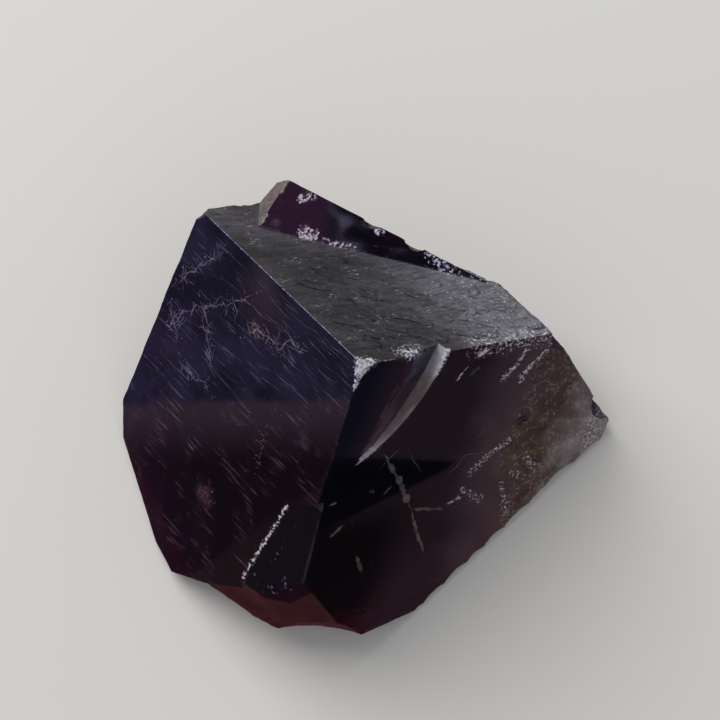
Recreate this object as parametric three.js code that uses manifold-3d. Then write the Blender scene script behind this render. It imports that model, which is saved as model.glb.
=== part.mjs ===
// Fluorite specimen: a broken corner of a cube-shaped crystal, lying on an octahedral cleavage face.
// Millimetres, +Z up. The crystal axes start at the cube corner and run into the stone:
// x along the edge of the top and right faces, y along the edge of the left and right faces,
// z along the edge of the left and top faces. Points and directions below are in crystal axes.
import * as THREE from "three";
import { mergeVertices } from "three/addons/utils/BufferGeometryUtils.js";
import Module from "manifold-3d";

const wasm = await Module();
wasm.setup();

// Cube corner
const LEFT_FACE_LEAN = 3.3; // degrees off the cube plane, from uneven growth
const TOP_FACE_RAISE = 0.35; // the top face stands a little above the worn corner
const CORNER_HEIGHT = 29.3; // from the resting face up to the cube corner
const REST_NORMAL = [0.63, 0.6, 0.5]; // resting face, about five degrees off the octahedron plane
const TOP_EDGE_HEADING = 15.2; // degrees from +X to the edge of the top and right faces, seen from above
const TOP_LEVEL = -TOP_FACE_RAISE;

// Broken sides
const BACK_DEPTH = 23.4; // from the right face to the back wall, along the top face
const BACK_LEAN = 8.3;
const RIGHT_END = 22.2; // from the cube corner to the right wall, along the edge
const RIGHT_TURN = 42.6; // degrees from the top face to the right wall
const TIP_REACH = 33.9; // from the left face to the blunt right tip
const FOOT_TIP = [1.9, 32.75, 14.6];
const SIDE_BREAKS = [
  { faces: [0, 0.37, 0.93], at: [1.3, 22.8, 26.4] }, // lower back
  { faces: [0.55, -0.71, 0.412], at: [20.8, TOP_LEVEL, 9.1] }, // behind the ridge
  { faces: [0, 0.934, 0.357], at: FOOT_TIP }, // left of the foot
  { faces: [0.247, 0.968, 0.047], at: FOOT_TIP }, // right of the foot
];

// Ridge: a second crystal block grown on the top face
const RIDGE_FOOT = 18.2; // from the cube corner to the foot of the ridge
const RIDGE_TURN = 35.1; // degrees between the foot line and the edge of the top and right faces
const RIDGE_LEAN = 37;
const RIDGE_END = { faces: [-0.724, -0.382, 0.574], at: [5.54, TOP_LEVEL, 22.1] };
const RIDGE_BACK_LEAN = 23;
const RIDGE_BACK_STEP = 0.7; // the ridge stands this far behind the back wall
const RIDGE_SLOPE_NORMAL = [0.55, -0.71, 0.39];
const RIDGE_TOP = [7, -3.83, 21.2]; // its highest point; it runs out to nothing at the right

// Relief of the top face
const RELIEF_THICKNESS = 2; // of the slabs that are sunk in the face
const RELIEF_CORNERS = 7;
const RELIEF_TURN = [-0.3, 0.3]; // how far a corner of a slab's outline strays, in shares of a corner
const RELIEF_REACH = [0.7, 1];
const LEDGE_COUNT = 46;
const LEDGE_LENGTH = [1, 4.2];
const LEDGE_WIDTH = [0.5, 1.5];
const LEDGE_TILT = [2, 6]; // degrees
const LEDGE_SWING = [-9, 9]; // degrees off the line of the ridge
const LEDGE_ACROSS = [3, 17]; // from the cube corner towards the ridge
const LEDGE_ALONG = [-0.45, 1]; // share of the distance across
const GRAIN_COUNT = 24;
const GRAIN_SIDE = [0.9, 2.4];
const GRAIN_TILT = [-4, 4];
const GRAIN_RISE = [0.02, 0.16];
const GRAIN_X = [12.5, 22];
const GRAIN_Z = [0.6, 8];
const PIT_COUNT = 12;
const PIT_WIDTH = [0.3, 0.8];
const PIT_FLARE = 3; // how much larger than the pit its cutting pyramid is
const PIT_SLOPE = 2.4;
const PIT_SINK = 0.7; // height of the pyramid's middle over the face, in pit widths
const PIT_STRETCH = [1.5, 1, 0.8];

// Bevel on the lower part of the edge of the left and right faces, starting at a ledge
const BEVEL_NORMAL = [-0.96, 0.12, -0.25];
const BEVEL_LEDGE_NORMAL = [0, 0.782, -0.622];
const BEVEL_START = [0.97, 16.7, 3.3];

// Broken foot below the bevel
const FOOT_CORNER = [1.76, 30.4, 9.9];
const FOOT_BREAK_NORMAL = [-0.447, 0.891, -0.078];
const FOOT_EDGE_NORMAL = [0, 0.897, -0.443];
const FOOT_SIDE_NORMAL = [-0.983, 0.163, -0.099];
const FOOT_FACES = [
  { faces: [-0.79, 0.515, -0.335], at: FOOT_CORNER },
  { faces: [-0.5, 0.52, -0.69], at: [2.27, 26.86, 3.28] },
];
const FOOT_NICK = { at: [5, 31, 4.4], radius: 1.4, height: 2.2, depth: 0.9 };

// Notch beside the cube corner on the right face: a sloping floor that ends at a curved wall
const NOTCH_TOP = [5.2, TOP_LEVEL, 0]; // ends of the line where its floor leaves the right face
const NOTCH_TAIL = [3.6, 9.9, 0];
const NOTCH_TILT = 16; // degrees from the right face to the floor
const NOTCH_WALL_MIDDLE = [-4.3, -0.8]; // centre of the wall's curve
const NOTCH_WALL_RADIUS = 13.8;
const NOTCH_WALL_SLOPE = 0.6; // change of the wall's radius over half of its height
const NOTCH_WALL_HEIGHT = 6;
const NOTCH_WALL_SIDES = 120;

// Short nicks in the right face near the top edge
const NICK_SLOPE = 35; // degrees
const NICKS = [
  { x: 12.8, y: 1.6, heading: -60, length: 3.4, depth: 0.4 },
  { x: 20.6, y: 2.4, heading: -50, length: 4.2, depth: 0.5 },
  { x: 21.8, y: 3.6, heading: -55, length: 3.4, depth: 0.4 },
];

// Shallow scars on the worn part of the right face
const SCAR_COUNT = 13;
const SCAR_X = [17, 31];
const SCAR_Y = [4, 18];
const SCAR_RADIUS = [9, 24];
const SCAR_DEPTH = [0.08, 0.2];

// Bites along the sharp lower rim of the right face
const RIM_BITES = 9;
const RIM_START = [33.4, 13.4, 0];
const RIM_END = [17, 31, 0];
const RIM_OUT = [0.66, 0.7, -0.25];
const RIM_BITE_SHIFT = [0.2, 0.8]; // place of a bite in its share of the rim
const RIM_BITE_RADIUS = [1.8, 4.5];
const RIM_BITE_DEPTH = [0.35, 0.9];

// Flat chips on the bruised cube corner
const CORNER_CHIPS = [
  { faces: [-0.5, -0.7, -0.5], at: [0.2, TOP_LEVEL + 0.2, 0.2] },
  { faces: [-0.2, -0.72, -0.66], at: [0.5, TOP_LEVEL + 0.25, 0.25] },
  { faces: [-0.62, -0.2, -0.76], at: [0.2, 0.7, 0.1] },
];

// Shell-shaped chips and scars
const CHIPS = [
  { at: [7.8, 31.8, 3.4], faces: [-0.2, 0.6, -0.75], radius: 12, depth: 0.3 }, // foot
  { at: [0, TOP_LEVEL, 23.2], faces: [-0.6, -0.4, 0.7], radius: 3, depth: 0.5 }, // end of the left edge
  { at: [12.7, -2.1, 15.6], faces: [0.1, -0.95, 0.1], radius: 1, depth: 0.1 }, // ridge crest
  { at: [15.9, -1.1, 13.1], faces: [0.1, -0.95, 0.1], radius: 1.2, depth: 0.12 },
  { at: [22.6, 0.4, 0], faces: [0.75, -0.5, -0.45], radius: 2.2, depth: 0.6 }, // right end
  { at: [22.2, TOP_LEVEL, 2.6], faces: [0.8, -0.6, 0.1], radius: 1.4, depth: 0.35 },
  { at: [31.5, 9.3, 0], faces: [0.6, -0.5, -0.6], radius: 3, depth: 0.35 },
  { at: [11, 7, 24.4], faces: [0, -0.14, 1], radius: 22, depth: 0.6 }, // back wall
  { at: [15, 10, 24.9], faces: [0, -0.14, 1], radius: 16, depth: 0.8 },
  { at: [7, 16, 25.7], faces: [0, -0.14, 1], radius: 18, depth: 0.4 },
];
const SHELL_FINENESS = 1.6; // divisions of a cutting ball to a millimetre of its radius
const SHELL_TURN = 1; // radians, so that a ball's edges lie along none of the crystal's

// Cleavage steps on the right wall and round the resting face
const WALL_STEP_NORMAL = [0.2, 0.3, 0.93];
const WALL_STEPS = [
  { depth: 0.8, reach: 8 },
  { depth: 1.7, reach: 13 },
];
const REST_STEP_LEAN = 0.5;
const REST_STEPS = [
  { towards: [-0.7, 0.1, 0.6], reach: 15.5, depth: 0.5 },
  { towards: [0.6, -0.75, 0.2], reach: 13.5, depth: 0.7 },
  { towards: [0.1, 0.7, -0.7], reach: 15, depth: 0.4 },
];

const SPAN = 160; // side of the cutting blocks, larger than the crystal
const WELD = 1e-4; // corners closer than this are one
const DEGREE = Math.PI / 180;

const direction = (x, y, z) => new THREE.Vector3(x, y, z).normalize();

// The next of a fixed row of uneven numbers, spread over a range
const WAVE_STEP = 12.9898;
const WAVE_HEIGHT = 43758.5453;
let draws = 0;
function vary([low, high]) {
  draws += 1;
  const wave = Math.sin(draws * WAVE_STEP) * WAVE_HEIGHT;
  return low + (high - low) * (wave - Math.floor(wave));
}

function solid(geometry) {
  const plain = geometry.index ? geometry.toNonIndexed() : geometry.clone();
  plain.deleteAttribute("normal");
  plain.deleteAttribute("uv");
  const merged = mergeVertices(plain, WELD);
  return new wasm.Manifold(new wasm.Mesh({
    numProp: 3,
    vertProperties: new Float32Array(merged.attributes.position.array),
    triVerts: new Uint32Array(merged.index.array),
  }));
}

// Everything outside the plane that stands at the distance along the normal
function outside(normal, distance) {
  const block = new THREE.BoxGeometry(SPAN, SPAN, SPAN);
  block.translate(0, 0, SPAN / 2 + distance);
  block.applyQuaternion(new THREE.Quaternion().setFromUnitVectors(direction(0, 0, 1), normal));
  return solid(block);
}

// Everything outside the plane through a point
function past(normal, point) {
  return outside(normal, normal.dot(new THREE.Vector3(...point)));
}

function tilted(degrees, from, towards) {
  return from.clone().multiplyScalar(Math.cos(degrees * DEGREE))
    .addScaledVector(towards, Math.sin(degrees * DEGREE));
}

// A ball that reaches the depth below a point of the surface, for a shell-shaped break
function shell(point, normal, radius, depth) {
  const ball = new THREE.IcosahedronGeometry(radius, Math.ceil(radius * SHELL_FINENESS));
  const centre = new THREE.Vector3(...point).addScaledVector(normal, radius - depth);
  ball.rotateX(SHELL_TURN).rotateZ(2 * SHELL_TURN);
  ball.translate(centre.x, centre.y, centre.z);
  return solid(ball);
}

// Radius of the ball that leaves a round scar of a length and depth
const scarRadius = (length, depth) => (length ** 2 / 4 + depth ** 2) / (2 * depth);

// A flat slab with an uneven outline, lying in the top face
function slab(length, width) {
  const outline = new THREE.Shape();
  for (let i = 0; i < RELIEF_CORNERS; i += 1) {
    const turn = (i + vary(RELIEF_TURN)) / RELIEF_CORNERS * 2 * Math.PI;
    const reach = vary(RELIEF_REACH) / 2;
    const corner = [Math.cos(turn) * length * reach, Math.sin(turn) * width * reach];
    if (i === 0) {
      outline.moveTo(...corner);
    } else {
      outline.lineTo(...corner);
    }
  }
  const plate = new THREE.ExtrudeGeometry(outline, { depth: RELIEF_THICKNESS, bevelEnabled: false });
  return plate.rotateX(-90 * DEGREE);
}

// A place on the top face, from the distances across and along the line of the ridge
function ridgePlace(across, along) {
  const sine = Math.sin(RIDGE_TURN * DEGREE);
  const cosine = Math.cos(RIDGE_TURN * DEGREE);
  return [across * sine + along * cosine, across * cosine - along * sine];
}

const restNormal = direction(...REST_NORMAL);
const leftNormal = tilted(LEFT_FACE_LEAN, direction(-1, 0, 0), direction(0, 1, 0));
const topNormal = direction(0, -1, 0);
const rightNormal = direction(0, 0, -1);
const behind = direction(0, 0, 1);
const backNormal = tilted(BACK_LEAN, behind, topNormal);
const wallNormal = tilted(RIGHT_TURN, topNormal, direction(1, 0, 0));
const tipNormal = direction(1, 0, 0);
const footNormal = direction(-Math.sin(RIDGE_TURN * DEGREE), 0, -Math.cos(RIDGE_TURN * DEGREE));
const ridgeNormal = tilted(RIDGE_LEAN, footNormal, topNormal);

// The rough block with the ridge slab on its top face
const rough = solid(new THREE.BoxGeometry(SPAN / 2, SPAN / 2, SPAN / 2));
const ridge = rough
  .subtract(past(direction(...RIDGE_END.faces), RIDGE_END.at))
  .subtract(past(ridgeNormal, footNormal.clone().multiplyScalar(-RIDGE_FOOT).toArray()))
  .subtract(past(direction(...RIDGE_SLOPE_NORMAL), RIDGE_TOP))
  .subtract(past(tilted(RIDGE_BACK_LEAN, behind, topNormal), [0, 0, BACK_DEPTH + RIDGE_BACK_STEP]));
let crystal = rough.subtract(outside(topNormal, TOP_FACE_RAISE)).add(ridge);

// Low growth ledges on the top face: slabs tilted up at their front, in line with the ridge
for (let i = 0; i < LEDGE_COUNT; i += 1) {
  const width = vary(LEDGE_WIDTH);
  const ledge = slab(vary(LEDGE_LENGTH), width);
  ledge.translate(0, 0, -width / 2);
  ledge.rotateX(-vary(LEDGE_TILT) * DEGREE);
  ledge.rotateY((RIDGE_TURN + vary(LEDGE_SWING)) * DEGREE);
  const across = vary(LEDGE_ACROSS);
  const [x, z] = ridgePlace(across, across * vary(LEDGE_ALONG));
  ledge.translate(x, TOP_LEVEL, z);
  crystal = crystal.add(solid(ledge));
}

// Crowded small slabs at the rough right end of the top face
for (let i = 0; i < GRAIN_COUNT; i += 1) {
  const grain = slab(vary(GRAIN_SIDE), vary(GRAIN_SIDE));
  grain.rotateX(vary(GRAIN_TILT) * DEGREE);
  grain.rotateZ(vary(GRAIN_TILT) * DEGREE);
  grain.translate(vary(GRAIN_X), TOP_LEVEL - vary(GRAIN_RISE), vary(GRAIN_Z));
  crystal = crystal.add(solid(grain));
}

// Etch pits on the top face: hollow four-sided pyramids, stretched along the ridge
for (let i = 0; i < PIT_COUNT; i += 1) {
  const width = vary(PIT_WIDTH);
  const pit = new THREE.ConeGeometry(width * PIT_FLARE, width * PIT_SLOPE, 4);
  pit.rotateY(45 * DEGREE);
  pit.scale(...PIT_STRETCH);
  pit.rotateY((RIDGE_TURN + vary(LEDGE_SWING)) * DEGREE);
  const across = vary(LEDGE_ACROSS);
  const [x, z] = ridgePlace(across, across * vary(LEDGE_ALONG));
  pit.translate(x, TOP_LEVEL - width * PIT_SINK, z);
  crystal = crystal.subtract(solid(pit));
}

// The cube faces, the broken sides and the resting face
const cuts = [
  outside(leftNormal, 0),
  outside(rightNormal, 0),
  past(backNormal, [0, 0, BACK_DEPTH]),
  past(wallNormal, [RIGHT_END, 0, 0]),
  outside(tipNormal, TIP_REACH),
  outside(restNormal, CORNER_HEIGHT),
  ...SIDE_BREAKS.map(({ faces, at }) => past(direction(...faces), at)),
];
for (const cut of cuts) {
  crystal = crystal.subtract(cut);
}

// Bevel and foot
const bevel = past(direction(...BEVEL_NORMAL), BEVEL_START);
const footBreak = past(direction(...FOOT_BREAK_NORMAL), FOOT_CORNER);
crystal = crystal
  .subtract(bevel.intersect(past(direction(...BEVEL_LEDGE_NORMAL), BEVEL_START)))
  .subtract(footBreak.intersect(past(direction(...FOOT_EDGE_NORMAL), FOOT_TIP)))
  .subtract(past(direction(...FOOT_SIDE_NORMAL), FOOT_CORNER));
for (const { faces, at } of FOOT_FACES) {
  crystal = crystal.subtract(past(direction(...faces), at));
}

// A three-sided nick in the foot
const nick = new THREE.ConeGeometry(FOOT_NICK.radius, FOOT_NICK.height, 3);
const nickInward = direction(...FOOT_FACES[1].faces).negate();
nick.translate(0, FOOT_NICK.depth - FOOT_NICK.height / 2, 0);
nick.applyQuaternion(new THREE.Quaternion().setFromUnitVectors(direction(0, 1, 0), nickInward));
nick.translate(...FOOT_NICK.at);
crystal = crystal.subtract(solid(nick));

// Notch: what lies over a sloping floor, inside a curved wall
const notchWall = new THREE.CylinderGeometry(
  NOTCH_WALL_RADIUS + NOTCH_WALL_SLOPE,
  NOTCH_WALL_RADIUS - NOTCH_WALL_SLOPE,
  NOTCH_WALL_HEIGHT,
  NOTCH_WALL_SIDES,
);
notchWall.rotateX(-90 * DEGREE);
notchWall.translate(...NOTCH_WALL_MIDDLE, 0);
const towardsWall = direction(NOTCH_TAIL[1] - NOTCH_TOP[1], NOTCH_TOP[0] - NOTCH_TAIL[0], 0);
const notchFloor = past(tilted(NOTCH_TILT, rightNormal, towardsWall), NOTCH_TOP);
crystal = crystal.subtract(notchFloor.intersect(solid(notchWall)));

for (const { x, y, heading, length, depth } of NICKS) {
  const across = direction(-Math.sin(heading * DEGREE), Math.cos(heading * DEGREE), 0);
  const floor = shell([x, y, 0], rightNormal, scarRadius(length, depth), depth);
  crystal = crystal.subtract(floor.intersect(past(tilted(NICK_SLOPE, across, rightNormal), [x, y, 0])));
}

for (let i = 0; i < SCAR_COUNT; i += 1) {
  const spot = [vary(SCAR_X), vary(SCAR_Y), 0];
  crystal = crystal.subtract(shell(spot, rightNormal, vary(SCAR_RADIUS), vary(SCAR_DEPTH)));
}

for (let i = 0; i < RIM_BITES; i += 1) {
  const share = (i + vary(RIM_BITE_SHIFT)) / RIM_BITES;
  const spot = new THREE.Vector3(...RIM_START).lerp(new THREE.Vector3(...RIM_END), share);
  const bite = shell(spot.toArray(), direction(...RIM_OUT), vary(RIM_BITE_RADIUS), vary(RIM_BITE_DEPTH));
  crystal = crystal.subtract(bite);
}

for (const { faces, at } of CORNER_CHIPS) {
  crystal = crystal.subtract(past(direction(...faces), at));
}
for (const { at, faces, radius, depth } of CHIPS) {
  crystal = crystal.subtract(shell(at, direction(...faces), radius, depth));
}

for (const { depth, reach } of WALL_STEPS) {
  const riser = past(direction(...WALL_STEP_NORMAL), [RIGHT_END, 0, reach]);
  crystal = crystal.subtract(past(wallNormal, [RIGHT_END - depth, 0, 0]).intersect(riser));
}
for (const { towards, reach, depth } of REST_STEPS) {
  const inward = direction(...towards);
  const middle = restNormal.clone().multiplyScalar(CORNER_HEIGHT).addScaledVector(inward, reach);
  const riser = past(inward.addScaledVector(restNormal, REST_STEP_LEAN).normalize(), middle.toArray());
  crystal = crystal.subtract(outside(restNormal, CORNER_HEIGHT - depth).intersect(riser));
}

// Stand the crystal on its resting face and put the origin under its middle
const up = restNormal.clone().negate();
const edge = new THREE.Vector3(1, 0, 0);
const ahead = edge.clone().addScaledVector(up, -edge.dot(up)).normalize();
const aside = new THREE.Vector3().crossVectors(up, ahead);
const stand = new THREE.Matrix4().makeBasis(ahead, aside, up).transpose();
stand.premultiply(new THREE.Matrix4().makeRotationZ(TOP_EDGE_HEADING * DEGREE));

const surface = crystal.getMesh();
const stone = new THREE.BufferGeometry();
stone.setAttribute("position", new THREE.BufferAttribute(new Float32Array(surface.vertProperties), 3));
stone.setIndex(new THREE.BufferAttribute(new Uint32Array(surface.triVerts), 1));
stone.applyMatrix4(stand);
stone.computeBoundingBox();
const box = stone.boundingBox;
stone.translate(-(box.min.x + box.max.x) / 2, -(box.min.y + box.max.y) / 2, -box.min.z);
stone.computeVertexNormals();

const specimen = new THREE.Group();
const mesh = new THREE.Mesh(stone, new THREE.MeshStandardMaterial({
  color: 0x3a2a52, roughness: 0.2, metalness: 0,
}));
mesh.name = "fluorite_crystal";
specimen.add(mesh);

export default specimen;
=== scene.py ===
# Fluorite specimen: a dark violet cube corner with a frosted top face, on a pale floor.
import heapq
import itertools
import math
import random

import bmesh
import bpy
from mathutils import Matrix, Vector, noise
from mathutils.bvhtree import BVHTree


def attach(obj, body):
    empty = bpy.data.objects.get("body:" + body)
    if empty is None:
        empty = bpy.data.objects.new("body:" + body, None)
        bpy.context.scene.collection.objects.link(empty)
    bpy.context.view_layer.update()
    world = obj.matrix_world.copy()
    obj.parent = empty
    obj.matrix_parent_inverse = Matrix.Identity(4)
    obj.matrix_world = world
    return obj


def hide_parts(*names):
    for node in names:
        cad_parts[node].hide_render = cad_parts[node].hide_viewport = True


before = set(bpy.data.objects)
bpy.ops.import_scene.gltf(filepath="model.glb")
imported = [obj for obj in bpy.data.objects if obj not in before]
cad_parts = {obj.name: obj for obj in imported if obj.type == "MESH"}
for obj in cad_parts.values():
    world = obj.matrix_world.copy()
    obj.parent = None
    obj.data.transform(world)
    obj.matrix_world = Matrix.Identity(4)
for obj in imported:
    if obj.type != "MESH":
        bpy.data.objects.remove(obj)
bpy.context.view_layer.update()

MM = 0.001

# Crystal axes: x along the edge of the top and right faces, y along the edge of the left and right
# faces, z along the edge of the left and top faces, all from the cube corner into the stone.
REST_NORMAL = Vector((0.63, 0.6, 0.5)).normalized()
EDGE_HEADING = math.radians(15.2)
CORNER_HEIGHT = 29.3 * MM
LEFT_LEAN = 0.0577
TOP_RAISE = 0.35
RIDGE_TURN = math.radians(35.1)
RIDGE_FOOT = 18.46
RIDGE_MIDDLE = Vector((11, -1.5, 16))
LEFT_NORMAL = Vector((-1, LEFT_LEAN, 0)).normalized()
TOP_NORMAL = Vector((0, -1, 0))
RIGHT_NORMAL = Vector((0, 0, -1))
RIDGE_END_NORMAL = Vector((-0.724, -0.382, 0.574)).normalized()
BEVEL_NORMAL = Vector((-0.96, 0.12, -0.25)).normalized()
BEVEL_START = Vector((0.97, 16.7, 3.3))
NOTCH_FLOOR_NORMAL = Vector((0.272, 0.042, -0.961))
NOTCH_WALL_MIDDLE = Vector((-4.3, -0.8))
NOTCH_WALL_RADIUS = 13.8
NOTCH_END = 11

# Dot products of normals above which a small face counts as part of a plane, or as close to it
SAME_PLANE = 0.985
NEAR_PLANE = 0.86

# Camera: the photograph's view
ELEVATION = math.radians(82.5)
IMAGE_SIDE = 720
FOCAL_PIXELS = 3000
PIXELS_PER_MM = 12.4
APEX_PIXEL = (361, 368)

# Mesh fineness
SHOWN_EDGE = 0.46 * MM
HIDDEN_EDGE = 0.85 * MM
SAME_POINT = 0.0005 * MM
SHARP = math.radians(24)

# Fluorite
IOR = 1.434
ABSORB_COLOUR = (0.5, 0.07, 0.37, 1)
ABSORB_DENSITY = 300

# Colours of the crystal's parts: body colours, with painted reflections and painted shade where
# marked
VIOLET = Vector((0.52, 0.43, 1.0))
# Mauve and maroon below a slanting line on the left face are a painted reflection of the floor; mauve
# is also used for a pink spot and for the notch
MAUVE = Vector((0.86, 0.56, 0.84))
MAROON = Vector((0.70, 0.34, 0.56))
NAVY = Vector((0.45, 0.42, 0.80))
# Painted reflection: the right face's colour on both sides of its dark wedge
PAINTED_REFLECTION_COLOUR = Vector((0.64, 0.42, 0.58))
SMOKE = Vector((0.30, 0.18, 0.16))
OCHRE = Vector((0.34, 0.21, 0.11))
TIP = Vector((0.52, 0.44, 0.45))
FROST = Vector((0.40, 0.39, 0.46))
PURPLE = Vector((0.50, 0.20, 0.48))
ROSE = Vector((0.34, 0.11, 0.12))
PALE = Vector((0.62, 0.62, 0.68))
RUST = Vector((0.30, 0.19, 0.18))
# Dark: partly the stone's broken surfaces, partly painted shade on the hidden walls and the rest face
DARK = Vector((0.035, 0.02, 0.045))
BROKEN = Vector((0.20, 0.17, 0.24))

# Colours of the veils, seen through the tinted surface, and of the floor
LEFT_VEIL_COLOUR = (0.58, 0.64, 0.38)
RIGHT_VEIL_COLOUR = (0.52, 0.54, 0.32)
BEVEL_VEIL_COLOUR = (0.55, 0.55, 0.55)
FLOOR_COLOUR = (0.78, 0.765, 0.745, 1)

# Soft spots on the left face and the right face
PINK_SPOT = Vector((0.2, 2.5, 13.0))
CLOUD_SPOT = Vector((1.3, 23.1, 13.3))
OCHRE_SPOT = Vector((21.3, 13.0, 0))
DARK_SPOT = Vector((22.2, 8.9, 0))

# The dark wedge on the right face, between two painted reflections
WEDGE_POINT = Vector((16.9, 12.4))
WEDGE_UPPER = Vector((3.5, 9.6))
WEDGE_LOWER = Vector((3.2, 16.9))

# Bruised white streaks and spots: both ends in crystal millimetres, a radius and a strength
BRUISES = [
    ((0.3, -0.2, 0.3), (0.3, 0.3, 0.1), 0.55, 1.0),
    ((0.8, -0.3, 0.2), (1.3, -0.3, 0.3), 0.4, 0.9),
    ((0.2, 0.8, 0.05), (0.2, 2.0, 0.05), 0.22, 0.8),
    ((4.4, -0.35, 0.8), (6.6, -0.35, 1.0), 0.55, 0.55),
    ((5.2, -0.35, 0.4), (6.2, -0.35, 0.7), 0.5, 0.75),
    ((9.6, -0.3, 0.1), (9.2, 2.1, 0.2), 0.3, 0.75),
    ((5.2, 9.0, 0.1), (4.1, 9.9, 0.1), 0.25, 0.8),
    ((14.2, 0.3, 0.1), (12.0, 2.9, 0.1), 0.2, 0.9),
    ((19.2, 1.0, 0.1), (18.4, 2.8, 0.1), 0.25, 0.7),
    ((21.9, 1.8, 0.3), (20.0, 4.3, 0.1), 0.3, 0.75),
    ((18.2, 3.0, 0.1), (17.6, 3.8, 0.1), 0.4, 0.6),
    ((7.2, -0.7, 17.8), (7.9, -0.6, 17.3), 0.5, 0.7),
    ((7.5, -2.9, 19.6), (8.3, -3.3, 19.4), 0.35, 0.7),
    ((8.7, -0.5, 16.6), (11.0, -0.5, 15.0), 0.25, 0.6),
    ((13.0, -2.1, 15.1), (13.2, -2.1, 15.0), 0.3, 0.8),
    ((16.7, -1.2, 11.6), (17.9, -0.5, 10.2), 0.5, 0.55),
    ((1.05, 16.8, 3.4), (1.57, 26.6, 5.9), 0.16, 0.75),
    ((31.8, 11.0, 0.1), (32.6, 13.0, 0.1), 1.2, 0.5),
    ((18.2, 13.8, 0), (19.4, 12.4, 0), 0.4, 0.5),
    ((19.4, 12.4, 0), (21.6, 10.8, 0), 0.4, 0.55),
    ((22.7, 15.8, 0), (25.1, 19.8, 0), 0.3, 0.5),
    ((16.9, 17.1, 0), (18.0, 16.6, 0), 0.25, 0.55),
    ((17.9, 15.7, 0), (20.8, 17.3, 0), 0.35, 0.5),
    ((24.9, 13.6, 0), (26.1, 14.6, 0), 0.35, 0.55),
    ((23.6, 14.8, 0), (25.5, 15.8, 0), 0.3, 0.5),
]


def crystal_turn():
    """Turns crystal axes into the row's axes."""
    up = -REST_NORMAL
    edge = Vector((1, 0, 0))
    ahead = (edge - up * edge.dot(up)).normalized()
    aside = up.cross(ahead)
    return Matrix.Rotation(EDGE_HEADING, 3, "Z") @ Matrix((ahead, aside, up))


TURN = crystal_turn()
BACK_TURN = TURN.transposed()


def find_apex():
    """The cube corner, from the planes of the left and right faces and its height over the floor."""
    corners = [v.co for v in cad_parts["fluorite_crystal"].data.vertices]
    left, right = TURN @ LEFT_NORMAL, TURN @ RIGHT_NORMAL
    left_reach = max(left.dot(co) for co in corners)
    right_reach = max(right.dot(co) for co in corners)
    planes = Matrix((left, right, (0, 0, 1)))
    return planes.inverted() @ Vector((left_reach, right_reach, CORNER_HEIGHT))


APEX = find_apex()


def place(point):
    """A row point from crystal millimetres."""
    return APEX + TURN @ Vector(point) * MM


def crystal_point(co):
    """Crystal millimetres from a row point."""
    return BACK_TURN @ (co - APEX) / MM


def link(name, data):
    obj = bpy.data.objects.new(name, data)
    bpy.context.scene.collection.objects.link(obj)
    return obj


def smooth_step(low, high, value):
    share = min(1, max(0, (value - low) / (high - low)))
    return share * share * (3 - 2 * share)


def cloud(point, scale, seed=0):
    """Smooth noise from -1 to 1 at so many lumps to the millimetre."""
    return noise.noise(Vector(point) * scale + Vector((seed * 7.3, seed * 3.1, seed * 5.7)))


# Camera
def make_camera():
    data = bpy.data.cameras.new("photo_camera")
    data.sensor_width = 36
    data.lens = FOCAL_PIXELS / IMAGE_SIDE * data.sensor_width
    data.clip_start = 0.01
    camera = link("photo_camera", data)
    right = Vector((1, 0, 0))
    upward = Vector((0, math.sin(ELEVATION), math.cos(ELEVATION)))
    toward = Vector((0, -math.cos(ELEVATION), math.sin(ELEVATION)))
    distance = FOCAL_PIXELS / PIXELS_PER_MM * MM
    half = IMAGE_SIDE / 2
    shift_x = (APEX_PIXEL[0] - half) / FOCAL_PIXELS * distance
    shift_y = (half - APEX_PIXEL[1]) / FOCAL_PIXELS * distance
    camera.location = APEX + toward * distance - right * shift_x - upward * shift_y
    camera.rotation_mode = "QUATERNION"
    camera.rotation_quaternion = Matrix((right, upward, toward)).transposed().to_quaternion()
    bpy.context.scene.camera = camera


# Node trees
class Nodes:
    """Short calls for building a material's node tree."""

    def __init__(self, name):
        self.material = bpy.data.materials.new(name)
        self.material.use_nodes = True
        self.tree = self.material.node_tree
        self.tree.nodes.clear()

    def add(self, kind, settings=None, **inputs):
        node = self.tree.nodes.new("ShaderNode" + kind)
        for key, value in (settings or {}).items():
            setattr(node, key, value)
        for key, value in inputs.items():
            self.put(node.inputs[key.replace("_", " ")], value)
        return node

    def put(self, socket, value):
        if hasattr(value, "is_output"):
            self.tree.links.new(value, socket)
        else:
            socket.default_value = value

    def math(self, operation, *values):
        node = self.tree.nodes.new("ShaderNodeMath")
        node.operation = operation
        for socket, value in zip(node.inputs, values):
            self.put(socket, value)
        return node.outputs[0]

    def attribute(self, name, output):
        return self.add("Attribute", {"attribute_name": name}).outputs[output]

    def noise(self, vector, scale, detail=2.0, roughness=0.6):
        node = self.add("TexNoise", Vector=vector, Scale=scale, Detail=detail, Roughness=roughness)
        return node.outputs[0]

    def ramp(self, value, low, high, start=0.0, end=1.0):
        """Smoothly turns the values from low to high into start to end."""
        node = self.add("MapRange", {"interpolation_type": "SMOOTHSTEP"}, Value=value)
        node.inputs["From Min"].default_value = low
        node.inputs["From Max"].default_value = high
        node.inputs["To Min"].default_value = start
        node.inputs["To Max"].default_value = end
        return node.outputs[0]

    def mix(self, share, first, second):
        node = self.add("Mix", {"data_type": "RGBA"})
        self.put(node.inputs["Factor"], share)
        self.put(node.inputs[6], first)
        self.put(node.inputs[7], second)
        return node.outputs[2]

    def finish(self, surface, volume=None):
        out = self.add("OutputMaterial", Surface=surface)
        if volume:
            self.put(out.inputs["Volume"], volume)
        return self.material


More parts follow.
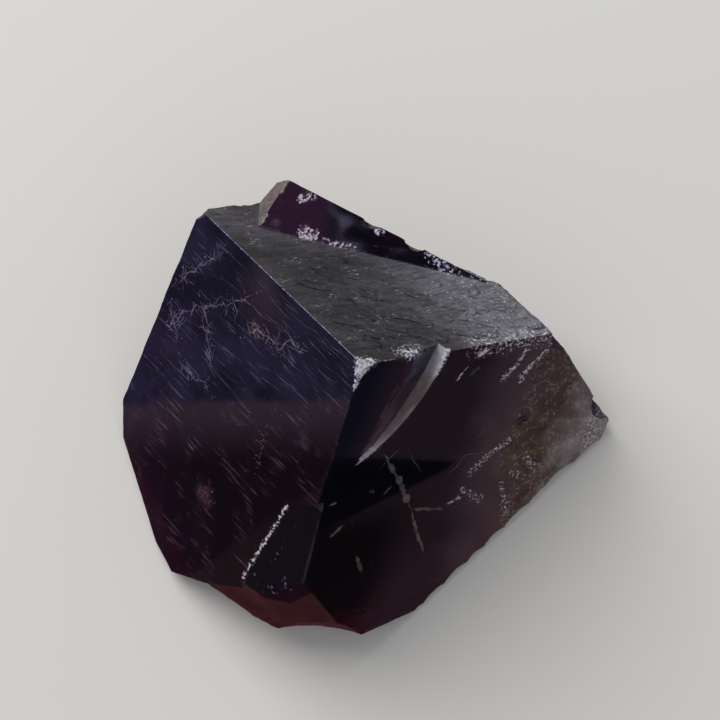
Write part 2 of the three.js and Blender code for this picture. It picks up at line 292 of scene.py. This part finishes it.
# Stage
def make_sheet(name, corners, material):
    mesh = bpy.data.meshes.new(name)
    mesh.from_pydata([Vector(c) * MM for c in corners], [], [(0, 1, 2, 3)])
    mesh.materials.append(material)
    sheet = link(name, mesh)
    return sheet


def level_square(reach, height):
    """Corners of a level square about the origin, in millimetres."""
    return [(x * reach, y * reach, height) for x, y in ((-1, -1), (1, -1), (1, 1), (-1, 1))]


def make_floor():
    n = Nodes("pale_floor")
    shader = n.add("BsdfPrincipled", Base_Color=FLOOR_COLOUR, Roughness=0.85)
    make_sheet("floor", level_square(3000, -0.08), n.finish(shader.outputs[0]))


def make_flag(name, corners, colour):
    """A dark card that only the crystal's mirror-like faces see."""
    n = Nodes(name)
    n.material.cycles.emission_sampling = "NONE"
    glow = n.add("Emission", Color=(*colour, 1), Strength=1.0)
    flag = make_sheet(name, corners, n.finish(glow.outputs[0]))
    flag.visible_camera = False
    flag.visible_diffuse = False
    flag.visible_transmission = False
    flag.visible_shadow = False
    flag.visible_volume_scatter = False


def make_left_flags(clearance):
    """Two leaning cards beside the left face, the nearer one a little warmer."""
    foot, far, rise = -24, -90, 36
    split, near, back = -16, -70, 60
    make_flag(
        "left_flag",
        [(foot, split, clearance), (foot, back, clearance), (far, back, rise), (far, split, rise)],
        (0.02, 0.02, 0.04),
    )
    make_flag(
        "left_low_flag",
        [(foot, near, clearance), (foot, split, clearance), (far, split, rise), (far, near, rise)],
        (0.10, 0.07, 0.08),
    )


def make_right_flag(clearance):
    """A leaning card beside the right face."""
    out = Vector((0.745, -0.667, 0))
    half = Vector((0.667, 0.745, 0)) * 60
    foot = out * 22 + Vector((0, 0, clearance))
    top = out * 85 + Vector((0, 0, 34))
    make_flag("right_flag", [foot - half, foot + half, top + half, top - half], (0.012, 0.012, 0.018))


def make_high_flag():
    """A card overhead, where the front of the ridge mirrors it to the camera."""
    beam = Vector((0.42, 0.01, 0.91)).normalized()
    middle = place(RIDGE_MIDDLE) / MM + beam * 150
    first = beam.orthogonal().normalized() * 40
    second = beam.cross(first)
    corners = [middle - first - second, middle + first - second]
    corners += [middle + first + second, middle - first + second]
    make_flag("high_flag", corners, (0.02, 0.02, 0.05))


def make_flags():
    make_flag("low_flag", level_square(70, 0.05), (0.07, 0.022, 0.03))
    over_floor = 0.3
    make_left_flags(over_floor)
    make_right_flag(over_floor)
    make_high_flag()


def make_lamp(name, location, size, energy, colour):
    lamp = bpy.data.lights.new(name, "AREA")
    lamp.shape = "DISK"
    lamp.size = size
    lamp.energy = energy
    lamp.color = colour
    holder = link(name, lamp)
    holder.location = location
    holder.rotation_mode = "QUATERNION"
    holder.rotation_quaternion = (-holder.location).to_track_quat("-Z", "Y")


def make_light():
    world = bpy.data.worlds.new("studio")
    bpy.context.scene.world = world
    world.use_nodes = True
    sky = world.node_tree.nodes["Background"]
    sky.inputs["Color"].default_value = (0.96, 0.98, 1.0, 1)
    sky.inputs["Strength"].default_value = 0.40
    make_lamp("key", (-0.24, 0.30, 0.40), 0.42, 2.1, (1.0, 0.985, 0.96))


# Parts of the crystal's surface
def ridge_axes(p):
    """Along and across the ridge's foot line, in millimetres."""
    along = p.x * math.cos(RIDGE_TURN) - p.z * math.sin(RIDGE_TURN)
    across = p.x * math.sin(RIDGE_TURN) + p.z * math.cos(RIDGE_TURN)
    return along, across


def on_bevel(normal, y, z, left):
    """Whether a small face is on the bevel or on the ledge at its upper end."""
    facet = 15 < y < 27 and left < 2.6 and z < 5.5 and normal.x < -0.5
    ledge = 15 < y < 19 and left < 1.4 and z < 4
    return (facet or ledge) and normal.dot(RIGHT_NORMAL) < NEAR_PLANE


def on_notch_wall(normal, middle):
    x, y, z = middle
    inward = NOTCH_WALL_MIDDLE - Vector((x, y))
    near_wall = abs(inward.length - NOTCH_WALL_RADIUS) < 0.6
    faces_in = Vector(normal[:2]).dot(inward.normalized()) > 0.7
    return near_wall and z < 2 and y < NOTCH_END and faces_in


def part_of(normal, middle):
    """Names the part that a small face belongs to, from its normal and middle in crystal axes."""
    x, y, z = middle
    left = x - LEFT_LEAN * y
    across = ridge_axes(middle)[1]
    if normal.dot(REST_NORMAL) > 0.97:
        return "rest"
    if normal.dot(LEFT_NORMAL) > SAME_PLANE and left < 0.3:
        return "left"
    if on_bevel(normal, y, z, left):
        return "bevel"
    if normal.dot(NOTCH_FLOOR_NORMAL) > SAME_PLANE and 2 < x < 10.5 and y < NOTCH_END:
        return "notch"
    if on_notch_wall(normal, middle):
        return "notch_wall"
    if normal.dot(RIGHT_NORMAL) > NEAR_PLANE and z < 1.2:
        return "right"
    if y < -0.3 and normal.dot(RIDGE_END_NORMAL) > 0.9:
        return "ridge_end"
    if y < -0.3 and across > RIDGE_FOOT - 0.2 and normal.dot(TOP_NORMAL) < 0.9:
        return "ridge"
    if y < 1 and x < 22.5 and left > 0.02:
        return "top"
    if y > 22 and x < 14 and z < 11.5:
        return "foot"
    return "wall"


# Looks: each gives a colour, a clearness and a roughness at a point in crystal millimetres; the
# colour is the body colour, except where a painted reflection or painted shade is marked
def left_look(p):
    # Painted reflection: below a slanting line the left face is tinted mauve, going over to maroon
    # further down, with its clearness changed to match, for a dim reflection of the floor that fades
    # downward
    under_reflection_line = p.y - (3 + 0.73 * p.z) + 0.5 * cloud(p, 0.4, 27)
    low = smooth_step(-0.3, 0.5, under_reflection_line)
    reflection_fade = smooth_step(0.5, 7.5, under_reflection_line)
    haze = smooth_step(-0.5, 0.6, cloud(p, 0.3, 1) + 0.4 * cloud(p, 0.9, 33))
    pink = (1 - low) * (1 - smooth_step(1.5, 4.5, (p - PINK_SPOT).length))
    spot = 1 - smooth_step(0.2, 1.8, (p - CLOUD_SPOT).length + 0.8 * cloud(p, 1.3, 21))
    colour = VIOLET.lerp(MAUVE, max(low, 0.7 * pink)).lerp(MAROON, reflection_fade)
    clear = 0.982 - 0.018 * haze * (1 - low) - 0.016 * low - 0.008 * pink + 0.026 * reflection_fade
    return colour, clear - 0.05 * spot, 0.035


def beside(p, start, end):
    """Distance to the left of the line from start to end, on the right face."""
    line = (end - start).normalized()
    return line.x * (p.y - start.y) - line.y * (p.x - start.x)


def right_look(p):
    worn = smooth_step(14, 26, p.x - 0.3 * max(0, p.y - 12) + 2 * cloud(p, 0.35, 2))
    tip = smooth_step(25, 31, p.x + 1.5 * cloud(p, 0.5, 22))
    # Painted reflection: outside the dark wedge and away from the corner, the right face is tinted
    # mauve and made less clear
    inside = min(beside(p, WEDGE_UPPER, WEDGE_POINT), beside(p, WEDGE_POINT, WEDGE_LOWER))
    corner = smooth_step(4.5, 1.5, p.x) * smooth_step(11, 8, p.y)
    painted_reflection = (1 - smooth_step(-0.25, 0.35, inside)) * (1 - corner)
    low = 0.9 * smooth_step(13, 19, p.y) * smooth_step(15, 9, p.x)
    ochre = 1 - smooth_step(2, 6.5, (p - OCHRE_SPOT).length + 1.5 * cloud(p, 0.5, 23))
    body = SMOKE.lerp(OCHRE, ochre).lerp(TIP, tip) * (0.9 + 0.5 * cloud(p, 0.7, 24))
    spot = 1 - smooth_step(0.2, 0.9, (p - DARK_SPOT).length)
    colour = NAVY.lerp(PAINTED_REFLECTION_COLOUR, painted_reflection).lerp(VIOLET, corner).lerp(body, worn) * (1 - 0.8 * spot)
    clear = 0.996 - 0.034 * painted_reflection * (1 - low) - 0.012 * corner - 0.26 * worn - 0.2 * tip
    return colour, clear, 0.04 + 0.22 * worn


def top_look(p):
    along, across = ridge_axes(p)
    end = smooth_step(5, 19, p.x - 0.15 * p.z + 1.5 * cloud(p, 0.4, 3))
    near_ridge = smooth_step(15, 18, across) * (1 - smooth_step(4, 9, p.x))
    streak = cloud((along * 0.25, p.y, across), 0.9, 4)
    blotch = cloud(p, 0.3, 28)
    share = 0.17 + 0.36 * end + 0.14 * near_ridge + 0.08 * streak + 0.08 * blotch
    return FROST * share, 0.5 - 0.25 * end, 0.42 + 0.1 * streak


def ridge_look(p):
    start = 1 - smooth_step(8.0, 12.0, p.x + 1.5 * cloud(p, 0.5, 29))
    patch = smooth_step(0.1, 0.6, cloud(p, 0.6, 5)) * (1 - 0.75 * smooth_step(9, 12.5, p.x))
    colour = NAVY.lerp(PURPLE, start).lerp(FROST, 0.6 * patch)
    return colour, 0.992 - 0.05 * start - 0.16 * patch, 0.05 + 0.2 * patch


def ridge_end_look(p):
    return TIP * (0.8 + 0.3 * cloud(p, 1.2, 30)), 0.6, 0.2


def notch_look(p):
    haze = smooth_step(-0.2, 0.6, cloud(p, 0.7, 26) + 0.5 * cloud(p, 1.6, 31))
    warm = smooth_step(2, 5, p.y)
    return VIOLET.lerp(MAUVE, warm), 0.975 - 0.07 * haze, 0.1


def notch_wall_look(p):
    streak = 0.5 + 0.5 * cloud((p.x * 0.7, p.y * 0.7, p.z * 4), 1.3, 25)
    upper = 1 - smooth_step(1.5, 4, p.y)
    lower = smooth_step(7, 9, p.y)
    white = max(upper, lower, streak * streak)
    return RUST.lerp(PALE, white), 0.4, 0.35


def foot_look(p):
    return ROSE * (0.9 + 0.6 * cloud(p, 0.5, 6)), 0.84, 0.08


def wall_look(p):
    # Dark and nearly opaque, with lighter frosted patches only away from the left face: partly the
    # stone's broken surface, partly painted shade that keeps floor light from showing through the
    # left face
    away = smooth_step(7, 15, p.x)
    patch = smooth_step(-0.4, 0.5, cloud(p, 0.4, 7) + 0.4 * cloud(p, 1.1, 32)) * away
    return DARK.lerp(BROKEN, patch), 0.08 + 0.1 * patch, 0.38


def rest_look(p):
    # Dark and nearly opaque: partly the stone's broken base, partly painted shade that keeps floor
    # light from coming up through the crystal
    return DARK, 0.08, 0.4


def bevel_look(p):
    return NAVY, 0.994, 0.04


LOOKS = {
    "left": left_look,
    "right": right_look,
    "top": top_look,
    "ridge": ridge_look,
    "ridge_end": ridge_end_look,
    "notch": notch_look,
    "notch_wall": notch_wall_look,
    "bevel": bevel_look,
    "foot": foot_look,
    "wall": wall_look,
    "rest": rest_look,
}


def relief(part, p):
    """How far a part's surface stands out of the plain solid, in millimetres."""
    if part == "top":
        along, across = ridge_axes(p)
        streak = cloud((along * 0.22, 0, across), 1.1, 8)
        streak += 0.6 * cloud((along * 0.4, 0, across), 2.4, 9)
        crust = smooth_step(10, 19, p.x) * (0.09 * cloud(p, 1.1, 10) + 0.07 * cloud(p, 2.3, 11))
        return 0.04 * streak + crust + 0.03 * cloud(p, 2.6, 12)
    if part == "wall":
        return 0.14 * cloud(p, 0.45, 13) + 0.06 * cloud(p, 1.4, 14)
    if part == "right":
        worn = smooth_step(13, 26, p.x)
        return worn * (0.05 * cloud(p, 0.7, 15) + 0.03 * cloud(p, 1.9, 16))
    if part in ("ridge", "notch"):
        return 0.02 * cloud(p, 1.2, 17)
    if part in ("notch_wall", "foot"):
        return 0.05 * cloud(p, 1.3, 18)
    return 0.0


def edge_wear(p, parts):
    """How far a worn edge is taken back, in millimetres."""
    if "left" in parts:
        depth = 0.03
    elif "rest" in parts:
        depth = 0.2
    elif "ridge" in parts or "ridge_end" in parts:
        depth = 0.05
    else:
        depth = 0.12
    return depth * max(0, 0.3 + cloud(p, 1.3, 19) + 0.6 * cloud(p, 3.1, 20))


def from_line(p, start, end):
    """Distance of a point from the stretch between two others."""
    start, end = Vector(start), Vector(end)
    line = end - start
    share = min(1, max(0, (p - start).dot(line) / line.length_squared))
    return (p - start - line * share).length


def bruise(p):
    """Whiteness from 0 to 1 of the bruises, the crusted edge and the grainy end of the top face."""
    edge = max(abs(p.y + TOP_RAISE), abs(p.z))
    crust = 0.5 * smooth_step(10, 14, p.x) * smooth_step(24, 22, p.x) * smooth_step(2.4, 0.4, edge)
    grain = 0.27 * smooth_step(11, 16, p.x - 0.2 * p.z) * smooth_step(0.6, 0.2, p.y)
    most = max(crust, grain) if p.y > -1.2 else 0.0
    for start, end, radius, strength in BRUISES:
        distance = from_line(p, start, end)
        if distance < 2 * radius:
            most = max(most, strength * (1 - smooth_step(0.5 * radius, 2 * radius, distance)))
    return most


# The crystal
def refine(mesh):
    """Splits the solid's longest edges first, until its triangles are small."""
    bm = bmesh.new()
    bm.from_mesh(mesh)
    bmesh.ops.remove_doubles(bm, verts=bm.verts, dist=SAME_POINT)
    bm.normal_update()
    order = itertools.count()
    queue = [(-e.calc_length(), next(order), e) for e in bm.edges]
    heapq.heapify(queue)
    while queue:
        minus_length, _, edge = heapq.heappop(queue)
        if -minus_length <= longest(edge):
            continue
        for part in split_edge(edge):
            heapq.heappush(queue, (-part.calc_length(), next(order), part))
    return bm


def split_edge(edge):
    """Halves an edge and the triangles beside it; returns the edges this makes."""
    sides = [(f, next(v for v in f.verts if v not in edge.verts)) for f in edge.link_faces]
    _, middle = bmesh.utils.edge_split(edge, edge.verts[0], 0.5)
    for face, corner in sides:
        new_face, _ = bmesh.utils.face_split(face, middle, corner)
        new_face.normal = face.normal
    return list(middle.link_edges)


def longest(edge):
    """Faces that look up are finer than the rest."""
    shown = any(f.normal.z > 0.2 for f in edge.link_faces)
    return SHOWN_EDGE if shown else HIDDEN_EDGE


def roughen(bm):
    """Gives every part its relief and wears the edges; returns the part of each face."""
    bm.normal_update()
    bm.faces.index_update()
    parts = [part_of(BACK_TURN @ f.normal, crystal_point(f.calc_center_median())) for f in bm.faces]
    moves = []
    for vert in bm.verts:
        around = {parts[f.index] for f in vert.link_faces}
        p = crystal_point(vert.co)
        lift = sum(relief(part, p) for part in sorted(around)) / len(around)
        if any(e.calc_face_angle(0) > SHARP for e in vert.link_edges):
            lift -= edge_wear(p, around)
        if "rest" in around:
            lift = min(0, lift)
        moves.append(vert.normal * lift * MM)
    for vert, move in zip(bm.verts, moves):
        vert.co += move
        vert.co.z = max(vert.co.z, 0)
    return parts


def paint(mesh, parts):
    """Keeps the looks on the mesh, with crystal coordinates for the fine grain."""
    points = [crystal_point(v.co) for v in mesh.vertices]
    whites = [bruise(p) for p in points]
    tones = []
    finishes = []
    for face, part in zip(mesh.polygons, parts):
        look = LOOKS[part]
        is_top = 1.0 if part == "top" else 0.0
        is_left = 1.0 if part == "left" else 0.0
        for index in face.vertices:
            colour, clear, rough = look(points[index])
            tones += (*colour, is_left)
            finishes += (clear, rough, is_top, 1.0)
    mesh.attributes.new("tone", "FLOAT_COLOR", "CORNER").data.foreach_set("color", tones)
    mesh.attributes.new("finish", "FLOAT_COLOR", "CORNER").data.foreach_set("color", finishes)
    mesh.attributes.new("bruise", "FLOAT", "POINT").data.foreach_set("value", whites)
    flat_points = [value for point in points for value in point]
    mesh.attributes.new("crystal", "FLOAT_VECTOR", "POINT").data.foreach_set("vector", flat_points)


def make_crystal():
    """Makes the crystal and returns a search tree of its surface."""
    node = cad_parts["fluorite_crystal"]
    bm = refine(node.data)
    parts = roughen(bm)
    mesh = bpy.data.meshes.new("fluorite")
    bm.to_mesh(mesh)
    surface = BVHTree.FromBMesh(bm)
    bm.free()
    crystal = link("fluorite", mesh)
    mesh.shade_smooth()
    mesh.set_sharp_from_angle(angle=SHARP)
    paint(mesh, parts)
    mesh.materials.append(fluorite_material())
    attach(crystal, "root")
    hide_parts("fluorite_crystal")
    return surface


def top_edges(n, crystal):
    """Distance from the nearest edge of the top face."""
    axes = n.add("SeparateXYZ", Vector=crystal)
    raised = n.math("ADD", axes.outputs[1], TOP_RAISE)
    leaned = n.math("MULTIPLY_ADD", axes.outputs[1], -LEFT_LEAN, axes.outputs[0])
    return n.math("MAXIMUM", raised, n.math("MINIMUM", leaned, axes.outputs[2]))


def fluorite_material():
    n = Nodes("fluorite")
    crystal = n.attribute("crystal", "Vector")
    tone = n.add("Attribute", {"attribute_name": "tone"})
    finish = n.add("SeparateColor", Color=n.attribute("finish", "Color"))
    clear, rough, top = finish.outputs
    left = tone.outputs["Alpha"]
    grain = n.noise(crystal, 3.4, 3.0, 0.7)

    # Thin pale lines on the worn edges of the top face, broken up by the grain
    ragged = n.math("MULTIPLY_ADD", grain, -0.30, top_edges(n, crystal))
    worn = n.ramp(ragged, -0.15, -0.09, 0.6, 0.0)

    # Bruised spots with ragged borders
    bruised = n.attribute("bruise", "Fac")
    spots = n.math("MULTIPLY_ADD", n.math("SUBTRACT", grain, 0.5), 3.2, bruised)
    spots = n.math("MULTIPLY", n.ramp(spots, 0.45, 0.95), n.ramp(bruised, 0.02, 0.2))

    # Growth hairlines of the left face, along its top edge
    stretched = n.add("Mapping", Vector=crystal, Scale=(0.0, 7.0, 0.22)).outputs[0]
    lines = n.ramp(n.noise(stretched, 1.0), 0.58, 0.68)
    spread = n.ramp(n.noise(crystal, 0.35), 0.44, 0.60)
    hair = n.math("MULTIPLY", n.math("MULTIPLY", lines, spread), n.math("MULTIPLY", left, 0.16))

    # Frosted streaks of the top face, and clustered bright specks on it, which are painted glints
    turning = n.add("Mapping", Vector=crystal, Rotation=(0, RIDGE_TURN, 0), Scale=(0.5, 1.0, 2.4))
    turned = turning.outputs[0]
    streak = n.noise(turned, 1.3, 4.0, 0.7)
    cluster = n.ramp(n.noise(crystal, 0.7), 0.48, 0.62)
    painted_glint = n.math("MULTIPLY", n.ramp(n.noise(turned, 4.2), 0.60, 0.70), n.math("MULTIPLY", top, 0.7))
    painted_glint = n.math("MULTIPLY", painted_glint, cluster)

    # Fuzzy pale net of the worn right part
    field = n.noise(crystal, 0.6, 4.0, 0.6)
    net = n.ramp(n.math("ABSOLUTE", n.math("SUBTRACT", field, 0.5)), 0.0, 0.05, 0.4, 0.0)
    net = n.math("MULTIPLY", net, n.ramp(grain, 0.45, 0.6))
    net = n.math("MULTIPLY", net, n.ramp(rough, 0.14, 0.24))
    net = n.math("MULTIPLY", net, n.ramp(rough, 0.31, 0.29))

    # Pale marks: worn edges, bruises, hairlines and the net, with the painted glints of the top face
    white = worn
    for share in (spots, hair, painted_glint, net):
        white = n.math("MAXIMUM", white, share)
    shade = n.math("MULTIPLY_ADD", n.math("SUBTRACT", streak, 0.5), n.math("MULTIPLY", top, 2.6), 1.0)
    scaled = n.add("VectorMath", {"operation": "SCALE"}, Scale=shade)
    n.put(scaled.inputs[0], tone.outputs["Color"])
    colour = n.mix(white, scaled.outputs[0], (*PALE, 1))
    see_through = n.math("MULTIPLY", clear, n.math("SUBTRACT", 1.0, white))
    roughness = n.math("MULTIPLY_ADD", white, 0.4, rough)

    height = n.math("MULTIPLY_ADD", streak, 0.6, grain)
    strength = n.ramp(rough, 0.05, 0.4, 0.02, 0.8)
    bump = n.add("Bump", Height=height, Strength=strength, Distance=0.15 * MM)

    shader = n.add("BsdfPrincipled", Base_Color=colour, Roughness=roughness, IOR=IOR)
    n.put(shader.inputs["Transmission Weight"], see_through)
    n.put(shader.inputs["Normal"], bump.outputs[0])
    absorb = n.add("VolumeAbsorption", Color=ABSORB_COLOUR, Density=ABSORB_DENSITY)
    return n.finish(shader.outputs[0], absorb.outputs[0])


# Veils: healed cracks just under the faces
class Veil:
    """Thin closed threads and flecks under a flat face, all inside the crystal."""

    def __init__(self, surface, origin, first, second, inward, seed):
        self.surface = surface
        self.origin = Vector(origin)
        self.axes = [Vector(axis).normalized() for axis in (first, second, inward)]
        self.random = random.Random(seed)
        self.points = []
        self.faces = []

    def at(self, a, b, depth):
        first, second, inward = self.axes
        return place(self.origin + first * a + second * b + inward * depth)

    def holds(self, a, b, depth):
        """Whether a place lies inside the crystal, a little under its surface."""
        point = self.at(a, b, depth)
        nearest, normal, _, distance = self.surface.find_nearest(point)
        return distance > 0.03 * MM and (nearest - point).dot(normal) > 0.7 * distance

    def thread(self, route, width, depth, wander=0.12):
        """A flat thread along a route of face coordinates, with ragged width and pointed ends."""
        seed = self.random.random() * 90
        path = []
        for start, end in zip(route, route[1:]):
            steps = max(2, round(math.dist(start, end) / 0.16))
            path += [Vector(start).lerp(Vector(end), i / steps) for i in range(steps)]
        path.append(Vector(route[-1]))
        count = len(path)
        if not all(self.holds(*spot, 0.6 * depth) for spot in path):
            return
        rings = []
        for i, spot in enumerate(path):
            ahead = (path[min(i + 1, count - 1)] - path[max(i - 1, 0)]).normalized()
            side = Vector((-ahead.y, ahead.x))
            key = (spot.x, spot.y, seed)
            spot = spot + side * wander * (cloud(key, 1.1) + 0.5 * cloud(key, 3.3))
            taper = min(1, 4 * min(i, count - 1 - i) / count + 0.02)
            half = width / 2 * taper * max(0.25, 0.75 + 0.9 * cloud(key, 1.9, 2))
            low = depth * (1 + 0.35 * cloud(key, 0.8, 3))
            thick = 0.15 * half + 0.004
            rings.append(len(self.points))
            self.points += [
                self.at(*(spot - side * half), low),
                self.at(*spot, low - thick),
                self.at(*(spot + side * half), low),
                self.at(*spot, low + thick),
            ]
        for a, b in zip(rings, rings[1:]):
            self.faces += [(a + k, a + (k + 1) % 4, b + (k + 1) % 4, b + k) for k in range(4)]
        self.faces.append(tuple(rings[0] + k for k in (3, 2, 1, 0)))
        self.faces.append(tuple(rings[-1] + k for k in range(4)))

    def hair(self, a, b, heading, length, width, depth):
        """A short, slightly bent thread."""
        bend = self.random.uniform(-0.25, 0.25)
        route = []
        for share in (-0.5, -0.17, 0.17, 0.5):
            turn = heading + bend * share
            route.append((a + math.cos(turn) * length * share, b + math.sin(turn) * length * share))
        self.thread(route, width, depth, 0.05)

    def fleck(self, a, b, size, depth):
        """A flat double pyramid on an uneven outline."""
        corners = 6
        turn = self.random.random() * math.tau
        squeeze = self.random.uniform(0.35, 1)
        reaches = [size / 2 * self.random.uniform(0.6, 1.1) for _ in range(corners)]
        if not self.holds(a, b, depth):
            return
        first = len(self.points)
        for k, reach in enumerate(reaches):
            angle = k / corners * math.tau
            x, y = math.cos(angle) * reach, math.sin(angle) * reach * squeeze
            along = x * math.cos(turn) - y * math.sin(turn)
            aside = x * math.sin(turn) + y * math.cos(turn)
            self.points.append(self.at(a + along, b + aside, depth))
        thick = 0.1 * size
        self.points += [self.at(a, b, depth - thick), self.at(a, b, depth + thick)]
        over, under = first + corners, first + corners + 1
        for k in range(corners):
            here, beyond = first + k, first + (k + 1) % corners
            self.faces += [(here, beyond, over), (beyond, here, under)]

    def scatter(self, count, centre, spread, size, depth):
        """Flecks strewn about a spot."""
        for _ in range(count):
            a = self.random.gauss(centre[0], spread[0])
            b = self.random.gauss(centre[1], spread[1])
            self.fleck(a, b, self.random.uniform(*size), self.random.uniform(*depth))

    def finish(self, name, material):
        mesh = bpy.data.meshes.new(name)
        mesh.from_pydata(self.points, [], self.faces)
        mesh.update()
        mesh.materials.append(material)
        piece = link(name, mesh)
        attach(piece, "root")


def veil_material(name, colour):
    n = Nodes(name)
    coordinates = n.add("TexCoord").outputs["Object"]
    patch = n.ramp(n.noise(coordinates, 900.0), 0.35, 0.65)
    tint = n.mix(patch, (*[value * 0.45 for value in colour], 1), (*colour, 1))
    shader = n.add("BsdfPrincipled", Base_Color=tint, Roughness=0.55)
    return n.finish(shader.outputs[0])


def make_left_veil(surface):
    """Wisps in the left face; coordinates are down the face and along its top edge."""
    veil = Veil(surface, (0, 0, 0), (LEFT_LEAN, 1, 0), (0, 0, 1), -LEFT_NORMAL, 11)
    chains = [
        [(6.9, 20.1), (8.3, 19.1), (10.2, 17.9), (12.1, 16.8)],
        [(8.3, 24.0), (6.6, 23.2), (5.4, 22.4), (3.5, 21.0), (1.2, 19.0)],
        [(12.2, 23.6), (10.1, 22.4), (8.2, 20.8), (5.3, 17.1), (2.7, 14.4)],
        [(6.0, 13.7), (4.9, 12.8), (4.8, 11.2), (4.4, 9.6)],
        [(5.3, 10.2), (3.2, 8.6), (3.2, 7.2)],
        [(14.2, 20.6), (14.0, 18.5), (13.5, 16.6)],
        [(10.1, 24.0), (11.3, 23.0), (12.3, 21.8)],
    ]
    for route in chains:
        veil.thread(route, 0.16, 0.15, 0.35)
        for start, end in zip(route, route[1:]):
            for _ in range(9):
                share = veil.random.random()
                a = start[0] + (end[0] - start[0]) * share + veil.random.gauss(0, 0.35)
                b = start[1] + (end[1] - start[1]) * share + veil.random.gauss(0, 0.35)
                heading = veil.random.choice((math.pi / 2, 0.2, 2.4)) + veil.random.gauss(0, 0.3)
                length = veil.random.uniform(0.4, 1.9)
                width = veil.random.uniform(0.04, 0.12)
                veil.hair(a, b, heading, length, width, veil.random.uniform(0.1, 0.4))
    for _ in range(90):
        b = veil.random.uniform(3, 24)
        a = veil.random.uniform(0.3, 2.2 + 0.68 * b)
        length = veil.random.uniform(0.8, 4.2)
        heading = math.pi / 2 + veil.random.gauss(0, 0.07)
        width = veil.random.uniform(0.02, 0.045)
        veil.hair(a, b, heading, length, width, veil.random.uniform(0.1, 0.5))
    for route in chains:
        for spot in route:
            veil.scatter(6, spot, (0.5, 0.5), (0.08, 0.25), (0.1, 0.4))
    veil.scatter(46, (23.1, 13.3), (0.7, 0.8), (0.06, 0.24), (0.1, 0.6))
    veil.scatter(26, (13.4, 8.6), (0.7, 0.3), (0.06, 0.2), (0.1, 0.4))
    veil.scatter(26, (15.6, 8.3), (0.8, 0.25), (0.06, 0.22), (0.1, 0.4))
    veil.scatter(60, (20.0, 12.0), (5.5, 4.0), (0.05, 0.13), (0.1, 0.4))
    veil.scatter(60, (8.0, 14.0), (4.0, 6.0), (0.05, 0.12), (0.1, 0.4))
    veil.finish("left_veil", veil_material("left_veil", LEFT_VEIL_COLOUR))


def make_right_veil(surface):
    """Ribbons and flecks in the right face; coordinates are along its top edge and down the face."""
    veil = Veil(surface, (0, 0, 0), (1, 0, 0), (0, 1, 0), -RIGHT_NORMAL, 12)
    ribbons = [
        ([(6.6, 9.9), (9.5, 13.1), (12.5, 16.9)], 0.7),
        ([(12.5, 16.9), (15.0, 20.7), (16.5, 22.7)], 0.4),
        ([(12.5, 16.9), (14.4, 17.2), (16.7, 17.7)], 0.6),
        ([(3.7, 18.2), (4.9, 17.1)], 0.45),
        ([(7.8, 20.9), (9.5, 23.4)], 0.4),
        ([(2.2, 14.6), (3.1, 14.3)], 0.3),
        ([(8.3, 14.5), (9.0, 13.6)], 0.14),
        ([(6.5, 11.6), (8.3, 9.5)], 0.08),
        ([(9.3, 10.0), (12.3, 13.2)], 0.08),
        ([(15.4, 13.7), (16.6, 12.3)], 0.12),
        ([(17.2, 10.1), (18.0, 9.2)], 0.08),
        ([(14.7, 13.0), (17.1, 11.8), (22.0, 12.1)], 0.08),
    ]
    for route, width in ribbons:
        veil.thread(route, width, 0.15, 0.1)
    veil.scatter(4, (6.6, 13.8), (0.18, 0.2), (0.2, 0.45), (0.1, 0.25))
    veil.scatter(80, (20.0, 12.0), (6.0, 5.0), (0.05, 0.16), (0.1, 0.3))
    veil.scatter(60, (8.0, 18.0), (4.0, 5.0), (0.04, 0.14), (0.1, 0.3))
    veil.finish("right_veil", veil_material("right_veil", RIGHT_VEIL_COLOUR))


def make_bevel_veil(surface):
    """Flecks in the bevel; coordinates are down it and across it."""
    down = Vector((0, 1, 0)) - BEVEL_NORMAL * BEVEL_NORMAL.y
    veil = Veil(surface, BEVEL_START, down, BEVEL_NORMAL.cross(down), -BEVEL_NORMAL, 13)
    veil.scatter(16, (8.0, 0.6), (1.2, 1.2), (0.1, 0.5), (0.1, 0.25))
    veil.scatter(18, (4.0, 0.6), (2.0, 0.9), (0.05, 0.2), (0.1, 0.3))
    veil.finish("bevel_veil", veil_material("bevel_veil", BEVEL_VEIL_COLOUR))


def set_light_paths():
    """Light that has crossed the dark crystal a few times is lost anyway."""
    cycles = bpy.context.scene.cycles
    cycles.max_bounces = 6
    cycles.transmission_bounces = 6
    cycles.glossy_bounces = 2
    cycles.diffuse_bounces = 1
    cycles.use_denoising = True


make_camera()
make_floor()
make_flags()
make_light()
crystal_surface = make_crystal()
make_left_veil(crystal_surface)
make_right_veil(crystal_surface)
make_bevel_veil(crystal_surface)
set_light_paths()
bpy.context.scene.view_settings.view_transform = "Standard"
